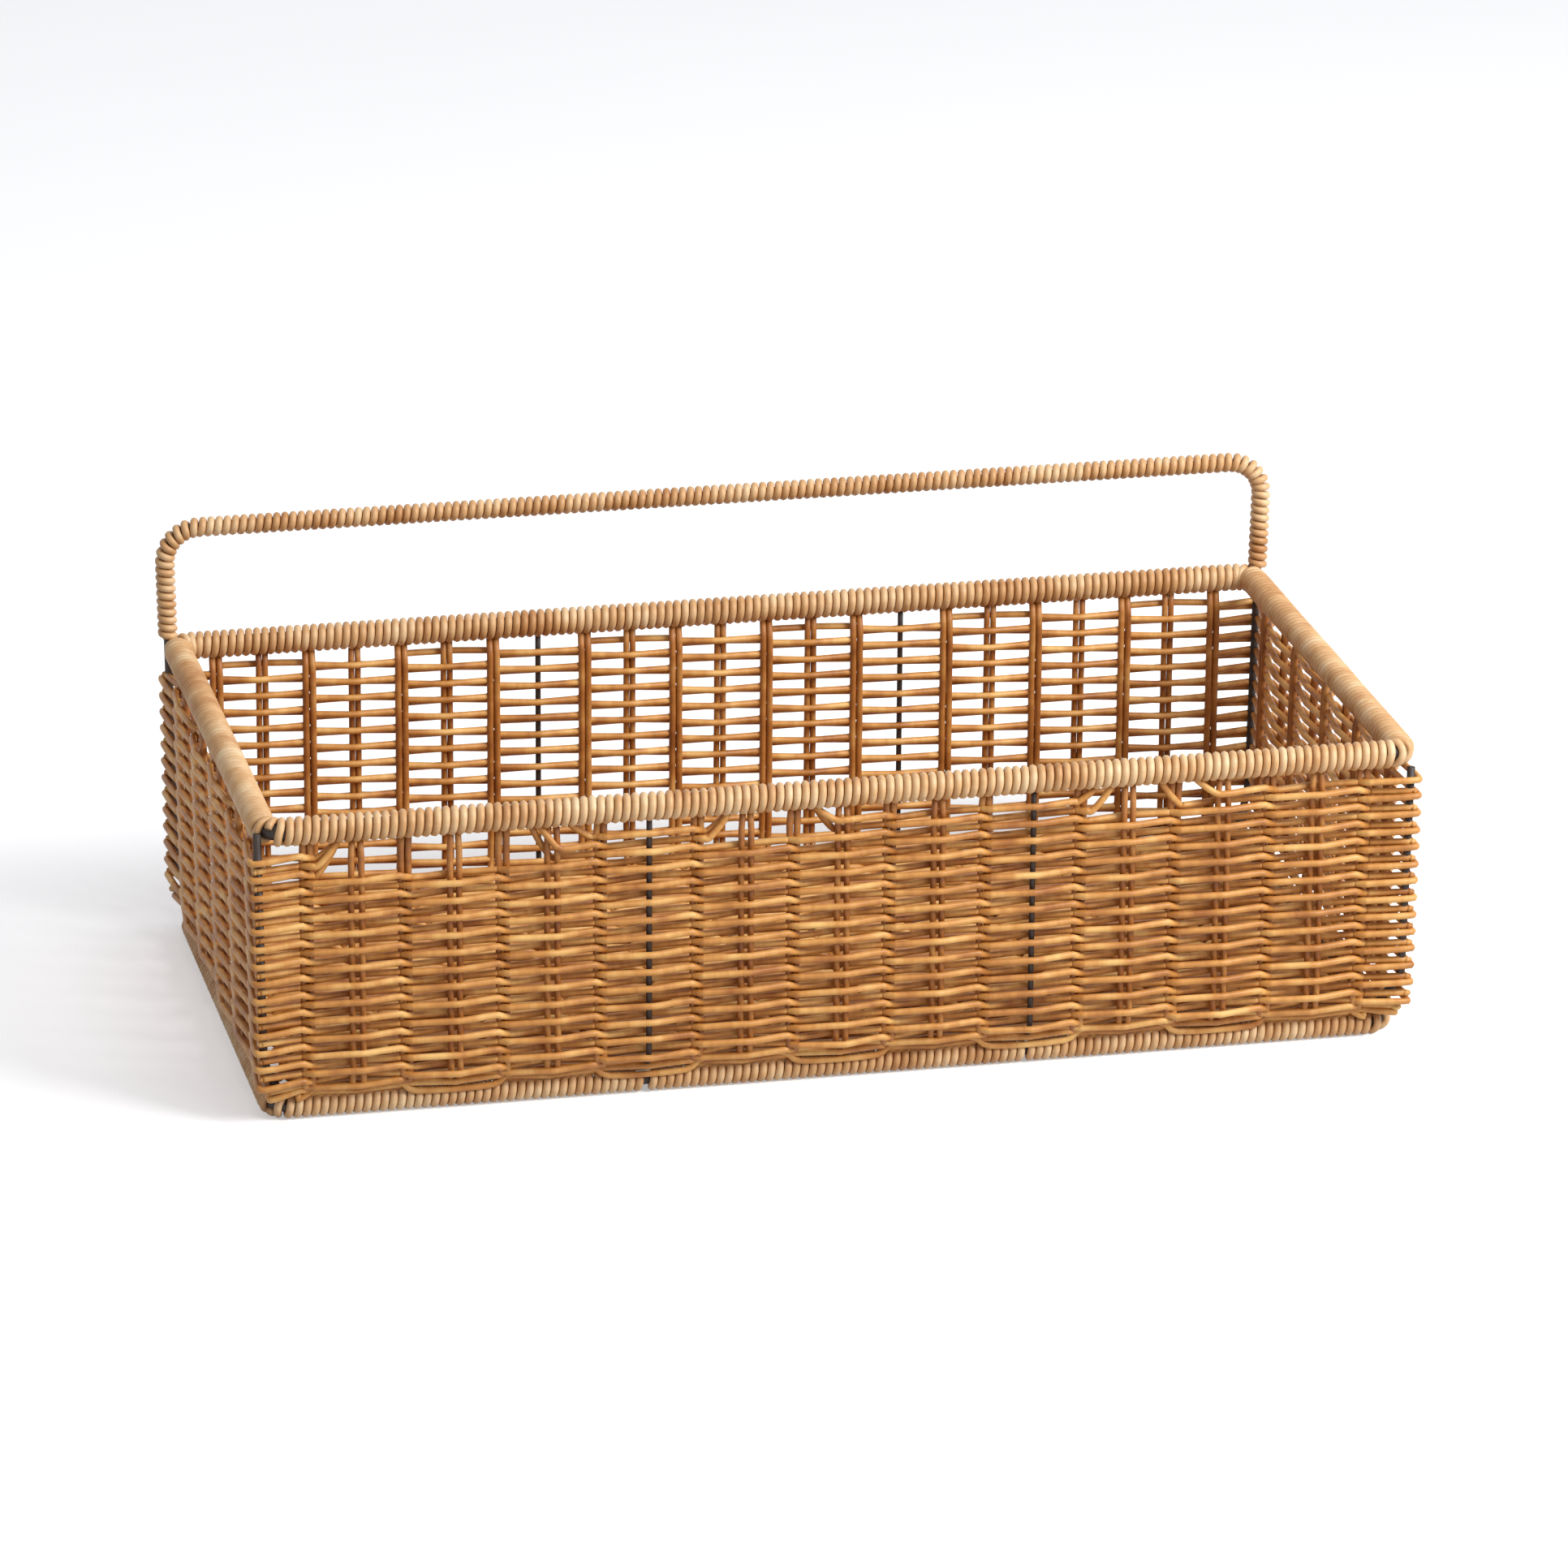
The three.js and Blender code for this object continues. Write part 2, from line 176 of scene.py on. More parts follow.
def softbox(name, azimuth, elevation, distance, size, watts):
    """A square lamp that faces the basket from an azimuth, 0 being the front."""
    data = bpy.data.lights.new(name, "AREA")
    data.shape = "SQUARE"
    data.size = size
    data.energy = watts
    lamp = bpy.data.objects.new(name, data)
    turn = (
        Matrix.Rotation(math.radians(azimuth), 4, "Z")
        @ Matrix.Rotation(math.pi / 2 - math.radians(elevation), 4, "X")
    )
    lamp.matrix_world = Matrix.Translation(turn @ Vector((0, 0, distance))) @ turn
    scene.collection.objects.link(lamp)


softbox("key_lamp", azimuth=50, elevation=38, distance=1.8, size=0.9, watts=33)
softbox("top_lamp", azimuth=10, elevation=72, distance=2.2, size=1.2, watts=9)

# The wire frame: round mild steel wire, bent, spot welded and dipped in dark brown lacquer. It
# shows only at the bare corners, at the welds and where the two thin wires cross under the basket.
ROUND_FLAT = math.cos(math.pi / 8)     # an eight-sided CAD wire's flats, as a share of its radius
rim_wire_radius = 2.8 * MM
base_wire_radius = 2.0 * MM
post_radius = 1.4 * MM
cross_wire_radius = 1.0 * MM
wire_corner = 6.0 * MM
tube_rings = 2                         # bevel resolution: eight faces round a tube


def wire_middle(node, radius):
    """Half length, half depth and height of the middle line of a rectangular CAD wire."""
    low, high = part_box(node)
    inset = radius * ROUND_FLAT
    return high.x - inset, high.y - inset, (low.z + high.z) / 2


def quarter(centre, start, end, radius, steps):
    """Points of a quarter turn about a centre, from one direction to another."""
    points = []
    for step in range(steps + 1):
        angle = step / steps * math.pi / 2
        points.append(centre + radius * (math.cos(angle) * start + math.sin(angle) * end))
    return points


def tube_mesh(path, radius, closed=False, resolution=tube_rings):
    """A round tube along a path, with the length along it kept as a point attribute."""
    curve = bpy.data.curves.new("tube", "CURVE")
    curve.dimensions = "3D"
    curve.bevel_depth = radius
    curve.bevel_resolution = resolution
    curve.use_fill_caps = not closed
    spline = curve.splines.new("POLY")
    spline.points.add(len(path) - 1)
    coords = np.ones((len(path), 4))
    coords[:, :3] = [tuple(p) for p in path]
    spline.points.foreach_set("co", coords.ravel())
    spline.use_cyclic_u = closed
    holder = bpy.data.objects.new("tube", curve)
    scene.collection.objects.link(holder)
    graph = bpy.context.evaluated_depsgraph_get()
    mesh = bpy.data.meshes.new_from_object(holder.evaluated_get(graph))
    bpy.data.objects.remove(holder)
    bpy.data.curves.remove(curve)

    steps = np.linalg.norm(np.diff(coords[:, :3], axis=0), axis=1)
    reach = np.concatenate([[0.0], np.cumsum(steps)])
    sides = 4 + 2 * resolution
    caps = len(mesh.vertices) - len(path) * sides
    places = np.empty(len(mesh.vertices) * 3)
    mesh.vertices.foreach_get("co", places)
    cap_places = places.reshape(-1, 3)[:caps]
    at_end = np.linalg.norm(cap_places - coords[0, :3], axis=1) > 1.5 * radius
    along = np.concatenate([np.where(at_end, reach[-1], 0.0), np.repeat(reach, sides)])
    mesh.attributes.new("along", "FLOAT", "POINT").data.foreach_set("value", along)
    return mesh


def make_piece(name, meshes, material, nodes, seed=0):
    """Joins tubes into one piece that stands for its CAD nodes. Each tube gets its own chance, and
    the seed only keeps one piece's chances apart from the next one's."""
    chance = random.Random(seed)
    joined = bmesh.new()
    for mesh in meshes:
        share = np.full(len(mesh.vertices), chance.random())
        mesh.attributes.new("strand", "FLOAT", "POINT").data.foreach_set("value", share)
        joined.from_mesh(mesh)
        bpy.data.meshes.remove(mesh)
    bmesh.ops.remove_doubles(joined, verts=joined.verts, dist=0.01 * MM)
    for face in joined.faces:
        face.smooth = True
        face.material_index = 0
    whole = bpy.data.meshes.new(name)
    joined.to_mesh(whole)
    joined.free()
    whole.materials.append(material)
    piece = bpy.data.objects.new(name, whole)
    scene.collection.objects.link(piece)
    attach(piece, "root")
    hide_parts(*nodes)


def lacquered_steel():
    """Dipped lacquer on steel wire: near black brown, half gloss, with a slightly runny surface."""
    material = bpy.data.materials.new("dark lacquered steel wire")
    material.use_nodes = True
    tree = material.node_tree
    shader = tree.nodes["Principled BSDF"]
    place = add_node(tree, "ShaderNodeTexCoord")
    blotches_per_metre = 180.0
    runs_per_metre = 700.0
    blotch = add_node(tree, "ShaderNodeTexNoise", {}, {
        "Vector": place.outputs["Object"], "Scale": blotches_per_metre, "Detail": 3.0,
    })
    tone = add_node(tree, "ShaderNodeMix", {"data_type": "RGBA"}, {
        "Factor": blotch.outputs["Fac"], "A": linear("#180F0A"), "B": linear("#3A271B"),
    })
    gloss = add_node(tree, "ShaderNodeMapRange", {}, {
        "Value": blotch.outputs["Fac"], "To Min": 0.45, "To Max": 0.65,
    })
    runs = add_node(tree, "ShaderNodeTexNoise", {}, {
        "Vector": place.outputs["Object"], "Scale": runs_per_metre, "Detail": 2.0,
    })
    bump = add_node(tree, "ShaderNodeBump", {}, {
        "Height": runs.outputs["Fac"], "Strength": 0.25, "Distance": 0.1 * MM,
    })
    tree.links.new(tone.outputs["Result"], shader.inputs["Base Color"])
    tree.links.new(gloss.outputs["Result"], shader.inputs["Roughness"])
    tree.links.new(bump.outputs["Normal"], shader.inputs["Normal"])
    return material


lacquer = lacquered_steel()
X_AXIS = Vector((1, 0, 0))
Y_AXIS = Vector((0, 1, 0))
Z_AXIS = Vector((0, 0, 1))
rim_half_length, rim_half_depth, rim_height = wire_middle("rim_wire", rim_wire_radius)
base_half_length, base_half_depth, base_height = wire_middle("base_wire", base_wire_radius)
corner_steps = 10


def wire_corners(half_length, half_depth, height):
    """The four bent corners of a rectangular wire, front right first, then round to the left."""
    turns = [
        (1, -1, -Y_AXIS, X_AXIS),
        (1, 1, X_AXIS, Y_AXIS),
        (-1, 1, Y_AXIS, -X_AXIS),
        (-1, -1, -X_AXIS, -Y_AXIS),
    ]
    corners = []
    for right, rear, start, end in turns:
        centre = Vector((
            right * (half_length - wire_corner),
            rear * (half_depth - wire_corner),
            height,
        ))
        corners.append(quarter(centre, start, end, wire_corner, corner_steps))
    return corners


rim_corners = wire_corners(rim_half_length, rim_half_depth, rim_height)
base_corners = wire_corners(base_half_length, base_half_depth, base_height)
wire_resolution = 6
for name, corners, radius in (
    ("rim_wire", rim_corners, rim_wire_radius),
    ("base_wire", base_corners, base_wire_radius),
):
    loop = [place for corner in corners for place in corner]
    mesh = tube_mesh(loop, radius, closed=True, resolution=wire_resolution)
    make_piece(name + "_round", [mesh], lacquer, [name])

# The posts and the hoop: thinner wire of the same steel. The rear posts run straight on into the
# hoop, and every post bends in at its foot to stand on the corner of the base wire.
hanger_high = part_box("hanger_wire")[1]
hoop_height = hanger_high.z - post_radius * ROUND_FLAT
hoop_half_length = hanger_high.x - post_radius * ROUND_FLAT
hoop_bend = 12 * MM
post_foot_rise = 18 * MM
post_steps = 14
post_resolution = 4
end_lean = 1.5 * MM
clearance = 0.3 * MM
wall_depth = rim_half_depth
rim_corner_length = hoop_half_length - end_lean * (hoop_height - rim_height) / rim_height


def wall_length(height):
    """Half the length between the end walls, which lean in towards the foot."""
    return rim_corner_length - end_lean * (1 - height / rim_height)


def ease(value):
    """Smooth step from 0 to 1."""
    value = min(1.0, max(0.0, value))
    return value * value * (3 - 2 * value)


def post_foot(right, rear):
    """A post's foot, from the base wire up and out to the corner of the walls."""
    diagonal = wire_corner * (1 - math.sqrt(0.5))
    foot_x = base_half_length - diagonal
    foot_y = base_half_depth - diagonal
    bend_bottom = base_height + base_wire_radius + clearance + post_radius
    points = [Vector((right * foot_x, rear * foot_y, bend_bottom - post_radius))]
    for step in range(post_steps + 1):
        rise = step / post_steps
        outward = ease(rise)
        height = bend_bottom + rise * post_foot_rise
        points.append(Vector((
            right * (foot_x + outward * (wall_length(height) - foot_x)),
            rear * (foot_y + outward * (wall_depth - foot_y)),
            height,
        )))
    return points


def hoop_corner(right):
    """The hoop's bend on one side, from the leg to the bar."""
    centre = Vector((right * (hoop_half_length - hoop_bend), wall_depth, hoop_height - hoop_bend))
    return quarter(centre, right * X_AXIS, Z_AXIS, hoop_bend, corner_steps)


hoop_path = post_foot(-1, 1) + hoop_corner(-1) + hoop_corner(1)[::-1] + post_foot(1, 1)[::-1]
make_piece(
    "hanger_wire_round",
    [tube_mesh(hoop_path, post_radius, resolution=post_resolution)],
    lacquer, ["hanger_wire"],
)
for name, right, top in (
    ("front_post_left", -1, rim_height),
    ("front_post_right", 1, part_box("front_post_right")[1].z),
):
    post = post_foot(right, -1) + [Vector((right * wall_length(top), -wall_depth, top))]
    make_piece(
        name + "_round",
        [tube_mesh(post, post_radius, resolution=post_resolution)],
        lacquer, [name],
    )

# The two thin wires that cross under the basket: the same lacquered steel, bent up in the front and
# rear walls and welded to the base wire at the front. The stakes run the same way beside them.
wall_foot_radius = 8 * MM
wall_steps = 12
turn_steps_at_foot = 6
floor_steps = 18
rim_bite = 1.0 * MM                    # what stands in the walls ends this far under the rim wire
stake_top = rim_height - rim_wire_radius - rim_bite
base_winding_radius = 4.2 * MM         # the base wire with the cane wound round it


def cross_run(x, radius, top):
    """The middle line of what runs down the front wall, across the floor and up the rear wall."""
    floor_height = base_height + base_winding_radius + clearance + radius
    turn_y = wall_depth - wall_foot_radius
    turn_z = floor_height + wall_foot_radius
    path = []
    for step in range(wall_steps):
        height = top + (turn_z - top) * step / wall_steps
        path.append(Vector((x, -wall_depth, height)))
    path += quarter(Vector((x, -turn_y, turn_z)), -Y_AXIS, -Z_AXIS, wall_foot_radius, turn_steps_at_foot)
    for step in range(1, floor_steps):
        path.append(Vector((x, -turn_y + 2 * turn_y * step / floor_steps, floor_height)))
    rear_turn = quarter(Vector((x, turn_y, turn_z)), Y_AXIS, -Z_AXIS, wall_foot_radius, turn_steps_at_foot)
    path += rear_turn[::-1]
    for step in range(1, wall_steps + 1):
        height = turn_z + (top - turn_z) * step / wall_steps
        path.append(Vector((x, wall_depth, height)))
    return path


cross_wires = ("cross_wire_01", "cross_wire_02")
for name in cross_wires:
    low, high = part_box(name)
    run = cross_run((low.x + high.x) / 2, cross_wire_radius, stake_top)
    make_piece(
        name + "_round",
        [tube_mesh(run, cross_wire_radius)],
        lacquer, [name],
    )

# The windings: one long strand of cane wound tightly round each side of the rim, the base and the
# hoop. The strand nearly touches itself from turn to turn. The middle of a corner stays bare, but
# for the front right corner of the rim.


def cane(name, deep, middle, light, gloss):
    """Round plastic cane: extruded polyethylene, tinted in the melt, so each strand is streaked and
    drifts between honey and red brown along its length, with a soft waxy gloss."""
    material = bpy.data.materials.new(name)
    material.use_nodes = True
    tree = material.node_tree
    shader = tree.nodes["Principled BSDF"]
    along = add_node(tree, "ShaderNodeAttribute", {"attribute_name": "along"})
    strand = add_node(tree, "ShaderNodeAttribute", {"attribute_name": "strand"})
    wrap = add_node(tree, "ShaderNodeUVMap", {"uv_map": "UVMap"})
    place = add_node(tree, "ShaderNodeTexCoord")
    around = add_node(tree, "ShaderNodeSeparateXYZ", {}, {"Vector": wrap.outputs["UV"]})
    turn = add_node(tree, "ShaderNodeMath", {"operation": "MULTIPLY"}, {
        0: around.outputs["X"], 1: 2 * math.pi,
    })
    cosine = add_node(tree, "ShaderNodeMath", {"operation": "COSINE"}, {0: turn.outputs[0]})
    sine = add_node(tree, "ShaderNodeMath", {"operation": "SINE"}, {0: turn.outputs[0]})
    streak_length = 25 * MM
    drift_length = 16 * MM
    run = add_node(tree, "ShaderNodeMath", {"operation": "MULTIPLY_ADD"}, {
        0: along.outputs["Fac"], 1: 1 / streak_length, 2: strand.outputs["Fac"],
    })
    streak_place = add_node(tree, "ShaderNodeCombineXYZ", {}, {
        "X": cosine.outputs[0], "Y": sine.outputs[0], "Z": run.outputs[0],
    })
    streaks = add_node(tree, "ShaderNodeTexNoise", {"noise_dimensions": "4D"}, {
        "Vector": streak_place.outputs["Vector"], "W": strand.outputs["Fac"],
        "Scale": 3.0, "Detail": 4.0, "Roughness": 0.65,
    })
    drift = add_node(tree, "ShaderNodeTexNoise", {"noise_dimensions": "4D"}, {
        "Vector": place.outputs["Object"], "W": strand.outputs["Fac"],
        "Scale": 1 / drift_length, "Detail": 3.0,
    })
    blend = add_node(tree, "ShaderNodeMix", {"data_type": "FLOAT"}, {
        "Factor": 0.4, "A": drift.outputs["Fac"], "B": streaks.outputs["Fac"],
    })
    ramp = add_node(tree, "ShaderNodeValToRGB", {}, {"Fac": blend.outputs["Result"]})
    ramp.color_ramp.elements[0].position = 0.36
    ramp.color_ramp.elements[0].color = linear(deep)
    ramp.color_ramp.elements[1].position = 0.64
    ramp.color_ramp.elements[1].color = linear(light)
    ramp.color_ramp.elements.new(0.5).color = linear(middle)
    rough = add_node(tree, "ShaderNodeMapRange", {}, {
        "Value": streaks.outputs["Fac"], "To Min": gloss - 0.1, "To Max": gloss + 0.12,
    })
    bump = add_node(tree, "ShaderNodeBump", {}, {
        "Height": streaks.outputs["Fac"], "Strength": 0.35, "Distance": 0.12 * MM,
    })
    tree.links.new(ramp.outputs["Color"], shader.inputs["Base Color"])
    tree.links.new(rough.outputs["Result"], shader.inputs["Roughness"])
    tree.links.new(bump.outputs["Normal"], shader.inputs["Normal"])
    shader.inputs["IOR"].default_value = 1.5
    return material


winding_cane = cane("wound plastic cane", "#B57F4A", "#D0A370", "#E6C79C", 0.45)
winding_radius = 1.36 * MM
winding_pitch = 2.9 * MM
winding_thickness = 2.2 * MM           # the strand is pressed a little flat on the wire
turn_steps = 18
covered = 5                            # points of a wire's bend that the winding still covers


def spaced(path, spacing):
    """The path resampled at an even spacing, with the direction at each point."""
    places = np.array([tuple(p) for p in path])
    steps = np.linalg.norm(np.diff(places, axis=0), axis=1)
    reach = np.concatenate([[0.0], np.cumsum(steps)])
    count = max(2, int(round(reach[-1] / spacing)) + 1)
    stations = np.linspace(0, reach[-1], count)
    even = np.stack([np.interp(stations, reach, places[:, axis]) for axis in range(3)], axis=1)
    heading = np.gradient(even, axis=0)
    heading /= np.linalg.norm(heading, axis=1)[:, None]
    return stations, even, heading


def winding(path, wire_radius, plane, seed):
    """A strand wound round a wire, whose path stays square to the direction called plane."""
    chance = random.Random(seed)
    stations, even, heading = spaced(path, winding_pitch / turn_steps)
    outward = np.array(plane)
    across = np.cross(heading, outward)
    shift = chance.random()
    angle = -2 * np.pi * (stations / winding_pitch + shift)
    reach = wire_radius + winding_thickness - winding_radius
    ring = np.cos(angle)[:, None] * outward + np.sin(angle)[:, None] * across
    return tube_mesh(even + reach * ring, winding_radius)


rim_front = rim_corners[3][-covered:] + rim_corners[0] + rim_corners[1][:covered]
rim_rear = rim_corners[1][-covered:] + rim_corners[2][:covered]
rim_left = rim_corners[2][-covered:] + rim_corners[3][:covered]
for seed, (name, path) in enumerate((
    ("rim_wrap_front", rim_front), ("rim_wrap_left", rim_left), ("rim_wrap_rear", rim_rear),
)):
    coil = winding(path, rim_wire_radius, Z_AXIS, seed)
    make_piece(name + "_cane", [coil], winding_cane, [name], seed)

# The windings of the base wire: the same strand on each of its four sides. At the front it stops
# short on both sides of each weld with a cross wire, where the dark steel shows.
weld_gaps = {"cross_wire_01": 4.0 * MM, "cross_wire_02": 2.5 * MM}
front_runs = [base_corners[3][-covered:]]
for name, gap in weld_gaps.items():
    x = (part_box(name)[0].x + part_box(name)[1].x) / 2
    front_runs[-1].append(Vector((x - gap / 2, -base_half_depth, base_height)))
    front_runs.append([Vector((x + gap / 2, -base_half_depth, base_height))])
front_runs[-1] += base_corners[0][:covered]
base_runs = {
    "base_wrap_front": front_runs,
    "base_wrap_rear": [base_corners[1][-covered:] + base_corners[2][:covered]],
    "base_wrap_left": [base_corners[2][-covered:] + base_corners[3][:covered]],
    "base_wrap_right": [base_corners[0][-covered:] + base_corners[1][:covered]],
}
for seed, (name, runs) in enumerate(base_runs.items()):
    coils = [winding(run, base_wire_radius, Z_AXIS, seed + 10) for run in runs]
    make_piece(name + "_cane", coils, winding_cane, [name], seed + 10)

# The winding of the hoop: the same strand again, from just above the rim up one leg, along the bar
# and down the other leg.
leg_foot = rim_height + rim_wire_radius + clearance
hoop_wound = (
    [Vector((-wall_length(leg_foot), wall_depth, leg_foot))]
    + hoop_corner(-1) + hoop_corner(1)[::-1]
    + [Vector((wall_length(leg_foot), wall_depth, leg_foot))]
)
make_piece(
    "hanger_wrap_cane",
    [winding(hoop_wound, post_radius, Y_AXIS, 20)],
    winding_cane, ["hanger_wrap"], 20,
)

# The stakes: two strands of thinner cane laid side by side. Every second pair, at the odd places,
# lies on the inside of the walls, where the weave crosses over. The others are woven round.
# The stakes' cane is darker than the wall cane. This is partly the strands' own tone and partly painted
# shade for the rows that lie over them and the recesses they sit in.
stake_cane_with_painted_shade = cane("plastic cane of the stakes, darkened with painted shade", "#844A18", "#AA6A2C", "#CC9450", 0.45)
strand_radius = 1.1 * MM
inner_radius = 1.2 * MM                # the strands of a pair that lies on the inside
inner_shift = 2.0 * MM                 # how far in such a pair lies
woven_spread = 1.13 * MM               # half the distance between the two strands of a pair
inner_spread = 1.22 * MM
front_spreads = (1.5 * MM, 1.8 * MM)   # the woven pairs of the front wall stand a little apart
strand_scatter = 0.08 * MM
gather_height = 12 * MM                # below the rim, where the strands come together
cross_gaps = 24
length_gaps = 10
cross_pitch = 2 * rim_corner_length / cross_gaps
length_pitch = 2 * wall_depth / length_gaps
wire_positions = (8, 16)
floor_height = base_height + base_winding_radius + clearance + strand_radius


def is_inner(position):
    """The odd stakes lie on the inside of the walls, where the weave crosses over."""
    return position % 2 == 1


def stake_pair(run, across, inner, chance):
    """The two strands of a stake, from the run of its middle line. An inner pair leaves the middle
    of the wall below the rim and comes back to it in the turn at the foot."""
    radius = inner_radius if inner else strand_radius
    front_spread = chance.uniform(*front_spreads)
    rear_spread = inner_spread if inner else woven_spread
    inward = Y_AXIS if across.x else X_AXIS
    shift_start = floor_height + wall_foot_radius - 6 * MM
    shift_height = 10 * MM
    strands = ([], [])
    for place in run:
        hold = ease((rim_height - place.z) / gather_height)
        spread = front_spread if place.y < 0 and across.x and not inner else rear_spread
        scatter = chance.uniform(-strand_scatter, strand_scatter)
        half = strand_radius + (spread - strand_radius) * hold + scatter
        shift = inner_shift * hold * ease((place.z - shift_start) / shift_height) if inner else 0.0
        moved = place - inward * math.copysign(shift, place.dot(inward))
        for side, strand in zip((-1, 1), strands):
            strand.append(moved + side * half * across)
    return [tube_mesh(strand, radius) for strand in strands]


cane_index = 0
for position in range(1, cross_gaps):
    if position in wire_positions:
        continue
    cane_index += 1
    name = "cross_stake_%02d" % cane_index
    x = position * cross_pitch - rim_corner_length
    run = cross_run(x, strand_radius, stake_top)
    meshes = stake_pair(run, X_AXIS, is_inner(position), random.Random(position))
    make_piece(name + "_pair", meshes, stake_cane_with_painted_shade, [name], position)


def length_run(y):
    """The middle line of a lengthwise stake: down one end, along over the cross stakes, and up."""
    high = floor_height + 2 * strand_radius + 2 * clearance
    turn_z = floor_height + wall_foot_radius
    turn_x = wall_length(turn_z) - wall_foot_radius
    half = []
    for step in range(wall_steps):
        height = stake_top + (turn_z - stake_top) * step / wall_steps
        half.append((wall_length(height), height))
    turn = quarter(Vector((turn_x, 0, turn_z)), X_AXIS, -Z_AXIS, wall_foot_radius, turn_steps_at_foot)
    half += [(place.x, place.z) for place in turn]
    rise_end = rim_corner_length - cross_pitch + 2 * strand_radius
    half += [(rise_end + 1 * MM, high), (rise_end - 2 * MM, high), (rise_end / 2, high)]
    left = [Vector((-x, y, z)) for x, z in half]
    right = [Vector((x, y, z)) for x, z in half[::-1]]
    return left + [Vector((0, y, high))] + right


for position in range(1, length_gaps):
    name = "length_stake_%02d" % position
    run = length_run(position * length_pitch - wall_depth)
    meshes = stake_pair(run, Y_AXIS, is_inner(position), random.Random(position + 40))
    make_piece(name + "_pair", meshes, stake_cane_with_painted_shade, [name], position + 40)

# The wall weave: rows of cane. A row passes outside one stake, crosses over at the next and passes
# inside the one after that. The rows above and below it do the opposite.
weft_cane = cane("woven plastic cane", "#9C5C1E", "#C88A42", "#E8B86E", 0.45)
weft_radius = 1.2 * MM
row_pitch = 3.07 * MM
first_row_height = 5.7 * MM            # puts the rows at the photograph's heights
last_row = 29
row_swing = 0.65 * MM                  # a row lies this much higher outside, and lower inside
end_swing = 0.15 * MM                  # the same on the end walls, where the rows lie closer
row_scatter = 0.2 * MM
crossing_half = 3.4 * MM               # half the length of wall in which a row crosses over
draw_in = 1.3 * MM                     # how far out or in a row still lies where that starts
crossing_steepness = 1.7
rise_before_crossing = 0.45 * MM
drop_after_crossing = 0.3 * MM
hold_half = 2.6 * MM                   # half the length over which a row bends round a stake
hold_bulge = 0.25 * MM
foot_lifts = {0: 2.2 * MM, 1: 1.2 * MM, 2: 0.3 * MM}    # the lowest rows crowd in the turn
foot_press = 0.5                       # and are pressed flat by it
corner_tuck = 0.9 * MM                 # every second row is pulled in tight round the corner posts
touch = 0.1 * MM
stake_reach = strand_radius + weft_radius + 2 * touch
reaches = {
    "stake": stake_reach,
    "wire": cross_wire_radius + weft_radius + touch,
    "corner": post_radius + weft_radius + touch,
}
walls = {
    "front": (X_AXIS, -Y_AXIS),
    "right": (Y_AXIS, X_AXIS),
    "rear": (-X_AXIS, Y_AXIS),
    "left": (-Y_AXIS, -X_AXIS),
}
next_wall = {"front": "right", "right": "rear", "rear": "left", "left": "front"}


def half_wall(wall, height):
    """How far a wall stands from the middle of the basket."""
    return wall_depth if wall in ("front", "rear") else wall_length(height)


def foot_angle(height):
    """How far round the turn at the wall's foot a height lies."""
    return min(math.pi / 2, max(0.0, floor_height + wall_foot_radius - height) / wall_foot_radius)


def drawn_in(height):
    """How far the wall has turned in towards the floor at a height."""
    return wall_foot_radius * (1 - math.cos(foot_angle(height)))


def on_wall(wall, along, outward, height):
    """A point of the weave: so far along a wall, so far out of it, at a height. Below the turn of
    the wall's foot, the height is measured round the turn towards the floor."""
    tangent, normal = walls[wall]
    turn_z = floor_height + wall_foot_radius
    angle = foot_angle(height)
    surface_z = max(height, turn_z) - wall_foot_radius * math.sin(angle)
    reach = half_wall(wall, height) - drawn_in(height) + outward * math.cos(angle)
    return normal * reach + tangent * along + Z_AXIS * (surface_z - outward * math.sin(angle))


def round_stations():
    """Every stake, wire and corner in the order that a row meets them, with its kind, from the
    first stake of the front wall to the front left corner."""
    stations = []
    for wall in ("front", "right", "rear", "left"):
        gaps, pitch, half = (cross_gaps, cross_pitch, rim_corner_length)
        if wall in ("right", "left"):
            gaps, pitch, half = (length_gaps, length_pitch, wall_depth)
        for index in range(1, gaps):
            kind = "crossing" if is_inner(index) else "stake"
            if wall in ("front", "rear") and index in wire_positions:
                kind = "wire"
            stations.append((wall, index * pitch - half, kind))
        stations.append((wall, half, "corner"))
    return stations


def row_points(number, stations):
    """The places that one row is pulled through, with their wall and distance along it. A row draws
    in and rises a little towards a crossing, and steps down again as it crosses over."""
    chance = random.Random(100 + number)
    height = first_row_height + number * row_pitch + foot_lifts.get(number, 0.0)
    press = foot_press if number in foot_lifts else 1.0
    side = 1 if number % 2 == 1 else -1
    places = []
    for wall, along, kind in stations:
        swing = end_swing if wall in ("left", "right") else row_swing
        if kind == "crossing":
            before = side * swing + rise_before_crossing
            after = -side * swing - drop_after_crossing
            for share in (-1, -0.5, 0, 0.5, 1):
                reach = draw_in * press * min(1.0, crossing_steepness * abs(share))
                outward = -side * math.copysign(reach, share)
                lift = before + (after - before) * ease((share + 1) / 2)
                places.append((wall, along + share * crossing_half, outward, height + lift))
            side = -side
            continue
        reach = side * reaches[kind] * press
        lift = side * swing + chance.uniform(-row_scatter, row_scatter)
        if kind == "corner":
            reach = reaches["corner"] if side > 0 else corner_tuck
            turned = drawn_in(height)
            start = -half_wall(wall, height) + turned
            places.append((wall, along - turned, reach, height + lift))
            places.append((next_wall[wall], start, reach, height + lift))
            continue
        for step in (-1, 0, 1):
            bulge = side * (hold_bulge if step == 0 else 0.0)
            places.append((wall, along + hold_half * step, reach + bulge, height + lift))
    return places


